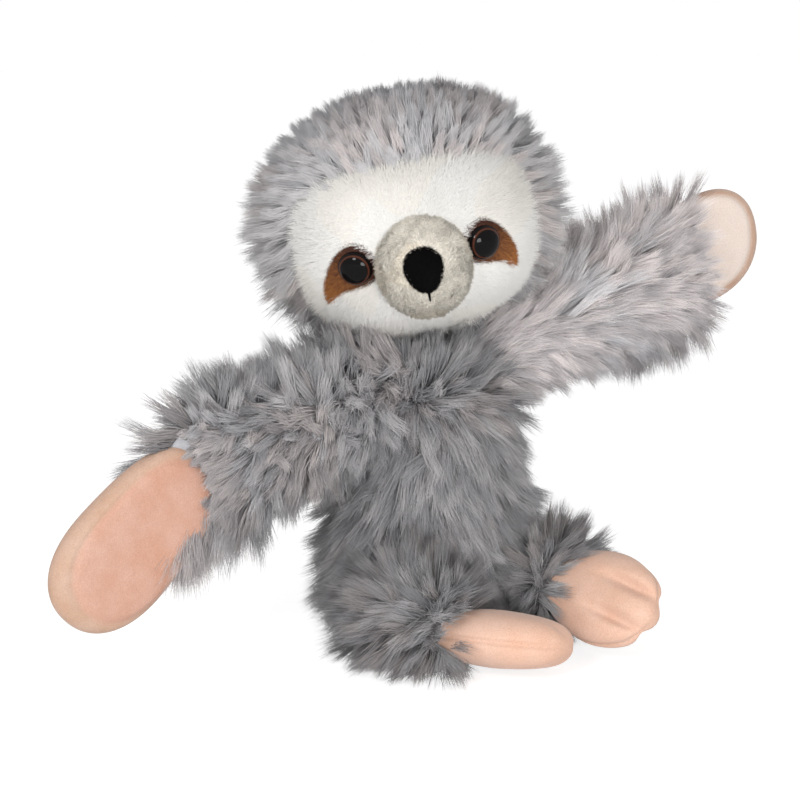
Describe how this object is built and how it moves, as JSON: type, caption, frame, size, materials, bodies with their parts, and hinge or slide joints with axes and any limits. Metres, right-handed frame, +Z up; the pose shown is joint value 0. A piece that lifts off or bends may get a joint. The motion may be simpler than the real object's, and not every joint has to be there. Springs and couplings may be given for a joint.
{
  "type": "plush sloth",
  "caption": "Sitting plush sloth with long grey fur, a white face, peach mitten hands and feet, and arms that curl into a hug on an inner slap band.",
  "frame": {"origin": "middle of the flat patch that the body sits on", "axes": "+Z up; the toy's left arm reaches towards +X, and its front is turned towards +X and -Y"},
  "size_m": [0.2562, 0.1657, 0.1958],
  "materials": {
    "long_pile": "long grey pile in soft clumps",
    "white_pile": "short dense white pile",
    "muzzle_pile": "short beige-grey pile",
    "black_felt": "black felt and thread",
    "eye_plastic": "polished dark plastic",
    "washer_plastic": "plain natural plastic",
    "brown_felt": "short brown pile",
    "peach_plush": "short peach plush",
    "stuffing": "loose fibre fill",
    "band_steel": "thin spring strip",
    "band_fabric": "plain woven sleeve"
  },
  "bodies": {
    "torso": {"body_cover": "long_pile", "body_stuffing": "stuffing", "slap_band": "band_steel", "band_sleeve": "band_fabric"},
    "neck": {"neck_stuffing": "stuffing"},
    "head": {"head_cover": "long_pile", "face_panel": "white_pile", "head_stuffing": "stuffing", "muzzle_cover": "muzzle_pile", "muzzle_stuffing": "stuffing", "nose": "black_felt", "mouth_stitch": "black_felt", "left_eye": "eye_plastic", "right_eye": "eye_plastic", "left_eye_washer": "washer_plastic", "right_eye_washer": "washer_plastic", "left_eye_patch": "brown_felt", "right_eye_patch": "brown_felt"},
    "left_upper_arm": {"left_upper_arm_cover": "long_pile", "left_upper_arm_stuffing": "stuffing"},
    "left_forearm": {"left_forearm_cover": "long_pile", "left_forearm_stuffing": "stuffing"},
    "left_hand": {"left_hand_palm": "peach_plush", "left_hand_back": "peach_plush", "left_hand_stuffing": "stuffing"},
    "right_upper_arm": {"right_upper_arm_cover": "long_pile", "right_upper_arm_stuffing": "stuffing"},
    "right_forearm": {"right_forearm_cover": "long_pile", "right_forearm_stuffing": "stuffing"},
    "right_hand": {"right_hand_palm": "peach_plush", "right_hand_back": "peach_plush", "right_hand_stuffing": "stuffing"},
    "left_leg": {"left_leg_cover": "long_pile", "left_leg_stuffing": "stuffing", "left_foot_top": "peach_plush", "left_foot_sole": "peach_plush", "left_foot_stuffing": "stuffing"},
    "right_leg": {"right_leg_cover": "long_pile", "right_leg_stuffing": "stuffing", "right_foot_top": "peach_plush", "right_foot_sole": "peach_plush", "right_foot_stuffing": "stuffing"}
  },
  "joints": [
    {"name": "neck_turn", "type": "hinge", "parent": "torso", "child": "neck", "pos_m": [0, 0, 0.1135], "axis": [-0.2139, -0.1258, 0.9687], "range_deg": [-25, 60]},
    {"name": "neck_nod", "type": "hinge", "parent": "neck", "child": "head", "pos_m": [0, 0, 0.1135], "axis": [0.9789, 0.0779, 0.189], "range_deg": [-10, 10]},
    {"name": "left_shoulder", "type": "hinge", "parent": "torso", "child": "left_upper_arm", "pos_m": [0.02573, 0.01521, 0.10223], "axis": [0.2286, 0.1352, -0.9641], "range_deg": [0, 45], "deforming": ["slap_band", "band_sleeve"]},
    {"name": "left_elbow", "type": "hinge", "parent": "left_upper_arm", "child": "left_forearm", "pos_m": [0.05394, 0.0319, 0.11126], "axis": [0.2286, 0.1352, -0.9641], "range_deg": [0, 45], "deforming": ["slap_band", "band_sleeve"]},
    {"name": "left_wrist", "type": "hinge", "parent": "left_forearm", "child": "left_hand", "pos_m": [0.08132, 0.04809, 0.12003], "axis": [0.2286, 0.1352, -0.9641], "range_deg": [0, 45], "deforming": ["slap_band", "band_sleeve"]},
    {"name": "right_shoulder", "type": "hinge", "parent": "torso", "child": "right_upper_arm", "pos_m": [-0.02573, -0.01521, 0.08577], "axis": [-0.2286, -0.1352, 0.9641], "range_deg": [0, 45], "deforming": ["slap_band", "band_sleeve"]},
    {"name": "right_elbow", "type": "hinge", "parent": "right_upper_arm", "child": "right_forearm", "pos_m": [-0.05394, -0.0319, 0.07674], "axis": [-0.2286, -0.1352, 0.9641], "range_deg": [0, 45], "deforming": ["slap_band", "band_sleeve"]},
    {"name": "right_wrist", "type": "hinge", "parent": "right_forearm", "child": "right_hand", "pos_m": [-0.08132, -0.04809, 0.06797], "axis": [-0.2286, -0.1352, 0.9641], "range_deg": [0, 45], "deforming": ["slap_band", "band_sleeve"]},
    {"name": "left_hip", "type": "hinge", "parent": "torso", "child": "left_leg", "pos_m": [0.03146, -0.00173, 0.0162], "axis": [-0.8607, -0.509, 0], "range_deg": [0, 25]},
    {"name": "right_hip", "type": "hinge", "parent": "torso", "child": "right_leg", "pos_m": [-0.01025, -0.0308, 0.0162], "axis": [-0.8607, -0.509, 0], "range_deg": [0, 25]}
  ],
  "couplings": [
    {"joint": "left_elbow", "follows": "left_shoulder", "ratio": 1},
    {"joint": "left_wrist", "follows": "left_shoulder", "ratio": 1},
    {"joint": "right_elbow", "follows": "right_shoulder", "ratio": 1},
    {"joint": "right_wrist", "follows": "right_shoulder", "ratio": 1}
  ]
}
